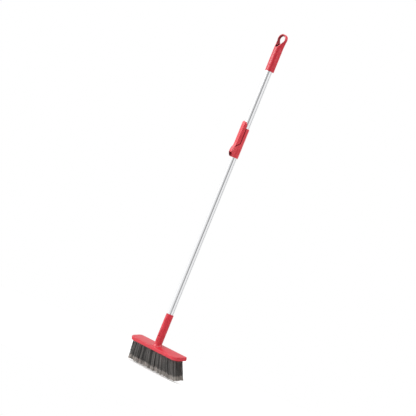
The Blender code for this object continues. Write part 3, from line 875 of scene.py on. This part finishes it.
def add_bristle_row(row, material):
    """A row of tufts: tight where they leave the block, spread and flagged at the trimmed tips."""
    dice = Random(row + 1)
    strands = Strands()
    pitch = 2 * FIELD_HALF_WIDTH / BRISTLE_ROWS
    row_y = -FIELD_HALF_WIDTH + (row + 0.5) * pitch
    tip_edge = TIP_HALF_LENGTH - 0.001
    stagger = 0.25 if row % 2 else -0.25
    for column in range(TUFTS_IN_ROW):
        share = (column + 0.5 + stagger) / TUFTS_IN_ROW * 2 - 1
        share *= TUFTS_IN_ROW / (TUFTS_IN_ROW - 0.7)
        root_middle = Vector((share * FIELD_HALF_LENGTH, row_y, 0.002))
        lean = Vector((dice.gauss(0, 0.0014), dice.gauss(0, 0.0010), 0))
        tip_middle = Vector((share * tip_edge, row_y * 1.03, -BRISTLE_LENGTH)) + lean
        for clump in range(CLUMPS_IN_TUFT):
            turn, out = dice.uniform(0, 2 * pi), dice.uniform(0.2, 0.9)
            clump_middle = Vector((cos(turn) * out, sin(turn) * out, 0))
            clump_shade = (clump + dice.uniform(0, 1)) / CLUMPS_IN_TUFT
            for strand in range(STRANDS_IN_CLUMP):
                offset = clump_middle + Vector((dice.gauss(0, 0.14), dice.gauss(0, 0.30), 0))
                tip = tip_middle + offset * TUFT_TIP_SPREAD
                tip.x = max(-tip_edge, min(tip_edge, tip.x))
                tip.z += dice.uniform(0.0, 0.0006)
                shade = max(0.0, min(1.0, clump_shade + dice.gauss(0, 0.10)))
                root = root_middle + offset * TUFT_ROOT_SPREAD
                add_strand(strands, root, tip, shade, dice)
    name = f"tufts_{row + 1}"
    piece = added(name, strands.mesh(name), raked())
    return shown(piece, material, "lower", "bristle", f"bristle_row_{row + 1}", sharp=80)


# ---------------------------------------------------------------- studio


def add_camera():
    right = Vector((cos(CAMERA_AZIMUTH), sin(CAMERA_AZIMUTH), 0))
    ahead = Vector((-sin(CAMERA_AZIMUTH), cos(CAMERA_AZIMUTH), 0))
    up = Vector((0, 0, 1))
    rolled_up = up * cos(CAMERA_ROLL) - right * sin(CAMERA_ROLL)
    rolled_right = right * cos(CAMERA_ROLL) + up * sin(CAMERA_ROLL)
    data = bpy.data.cameras.new("camera")
    data.sensor_width = SENSOR
    data.lens = SENSOR * CAMERA_DISTANCE / IMAGE_SIDE
    data.clip_end = 60
    camera = bpy.data.objects.new("camera", data)
    bpy.context.scene.collection.objects.link(camera)
    matrix = Matrix((rolled_right, rolled_up, -ahead)).transposed().to_4x4()
    matrix.translation = CAMERA_AIM - right * CAMERA_ASIDE - ahead * CAMERA_DISTANCE
    camera.matrix_world = matrix
    bpy.context.scene.camera = camera


def add_light(name, azimuth, elevation, distance, size, power):
    """A soft light aimed at the middle of the broom; azimuths are measured like the camera's."""
    data = bpy.data.lights.new(name, "AREA")
    data.energy = power
    data.size = size
    light = bpy.data.objects.new(name, data)
    bpy.context.scene.collection.objects.link(light)
    a, e = radians(azimuth), radians(elevation)
    back = Vector((sin(a) * cos(e), -cos(a) * cos(e), sin(e)))
    light.location = LIGHT_AIM + back * distance
    light.rotation_mode = "QUATERNION"
    light.rotation_quaternion = (-back).to_track_quat("-Z", "Y")


def tone_ramp(nodes, links, around, bands):
    """A ramp round the horizon; each band is (degrees to the right of the camera's side, tone)."""
    ramp = nodes.new("ShaderNodeValToRGB")
    links.new(around, ramp.inputs["Fac"])
    bearing = degrees(CAMERA_AZIMUTH) - 90
    stops = sorted((((bearing + off + 180) % 360) / 360, tone) for off, tone in bands)
    elements = ramp.color_ramp.elements
    for place, tone in stops[1:-1]:
        elements.new(place).color = (tone, tone, tone, 1.0)
    for element, (place, tone) in ((elements[0], stops[0]), (elements[len(elements) - 1], stops[-1])):
        element.position = place
        element.color = (tone, tone, tone, 1.0)
    return ramp.outputs["Color"]


def add_world():
    """A white studio; its mirror image is dark in front and dimmer behind, and its fill is dimmer."""
    world = bpy.data.worlds.new("studio")
    bpy.context.scene.world = world
    world.use_nodes = True
    nodes, links = world.node_tree.nodes, world.node_tree.links
    nodes.clear()
    where = nodes.new("ShaderNodeTexCoord")
    axis = nodes.new("ShaderNodeSeparateXYZ")
    links.new(where.outputs["Generated"], axis.inputs["Vector"])
    turn = nodes.new("ShaderNodeMath")
    turn.operation = "ARCTAN2"
    links.new(axis.outputs["Y"], turn.inputs[0])
    links.new(axis.outputs["X"], turn.inputs[1])
    around = nodes.new("ShaderNodeMapRange")
    around.inputs["From Min"].default_value = -pi
    around.inputs["From Max"].default_value = pi
    links.new(turn.outputs["Value"], around.inputs["Value"])
    shine = tone_ramp(nodes, links, around.outputs["Result"], SHINE_BANDS)
    fill = tone_ramp(nodes, links, around.outputs["Result"], FILL_BANDS)
    ray = nodes.new("ShaderNodeLightPath")
    tone = shine
    for kind, other in (("Is Diffuse Ray", fill), ("Is Camera Ray", None)):
        choose = nodes.new("ShaderNodeMix")
        choose.data_type = "RGBA"
        links.new(ray.outputs[kind], choose.inputs["Factor"])
        links.new(tone, choose.inputs[6])
        choose.inputs[7].default_value = (1.0, 1.0, 1.0, 1.0)
        if other is not None:
            links.new(other, choose.inputs[7])
        tone = choose.outputs[2]
    background = nodes.new("ShaderNodeBackground")
    links.new(tone, background.inputs["Color"])
    output = nodes.new("ShaderNodeOutputWorld")
    links.new(background.outputs["Background"], output.inputs["Surface"])


def add_floor():
    """A pale round floor under the bristles, as bright as the studio behind it."""
    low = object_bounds()[0].z - 0.002
    mesh = bpy.data.meshes.new("floor")
    mesh.from_pydata(circle(FLOOR_RADIUS, low), [], [tuple(range(SIDES))])
    mesh.materials.append(floor_material())
    added("floor", mesh)


def add_studio():
    add_camera()
    add_world()
    for light in LIGHTS:
        add_light(*light)
    add_floor()
    bpy.context.scene.view_settings.view_transform = "Standard"


# ---------------------------------------------------------------- the broom


def paint(node, material):
    """Gives a CAD node that stays in view its finish."""
    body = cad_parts[node]
    body.data.materials.clear()
    body.data.materials.append(material)


def build():
    red = red_plastic("red_plastic", RED)
    # the lever wears the red painted brighter and pinker, for the light and sheen it catches
    lighter = red_plastic("red_plastic_lit", LIT_RED)
    metal = aluminium()
    zinc = steel()
    white = nylon()
    dark = bristle()
    # The grip gets painted shade in the hole of its loop.
    add_grip(red_plastic("red_plastic_grip", RED, shade_in_hole, POCKET_SHADE))
    tube("upper_tube", OUTER_RADIUS, "outer_tube", metal, "handle")
    tube("lower_tube", INNER_RADIUS, "inner_tube", metal, "lower")
    # The lock body gets painted shade along the lever's seam and in its slot.
    add_lock_body(red_plastic("red_plastic_lock", LIT_RED, shade_beside_lever))
    add_lever(lighter)
    add_block(red)
    for node in ("release_tongue", "clamp_shoe"):
        paint(node, red)
    for node in ("lever_pin", "lock_rivet"):
        paint(node, zinc)
    for node in ("guide_bush", "tube_plug", "clamp_liner"):
        paint(node, white)
    for row in range(BRISTLE_ROWS):
        add_bristle_row(row, dark)


build()
add_studio()
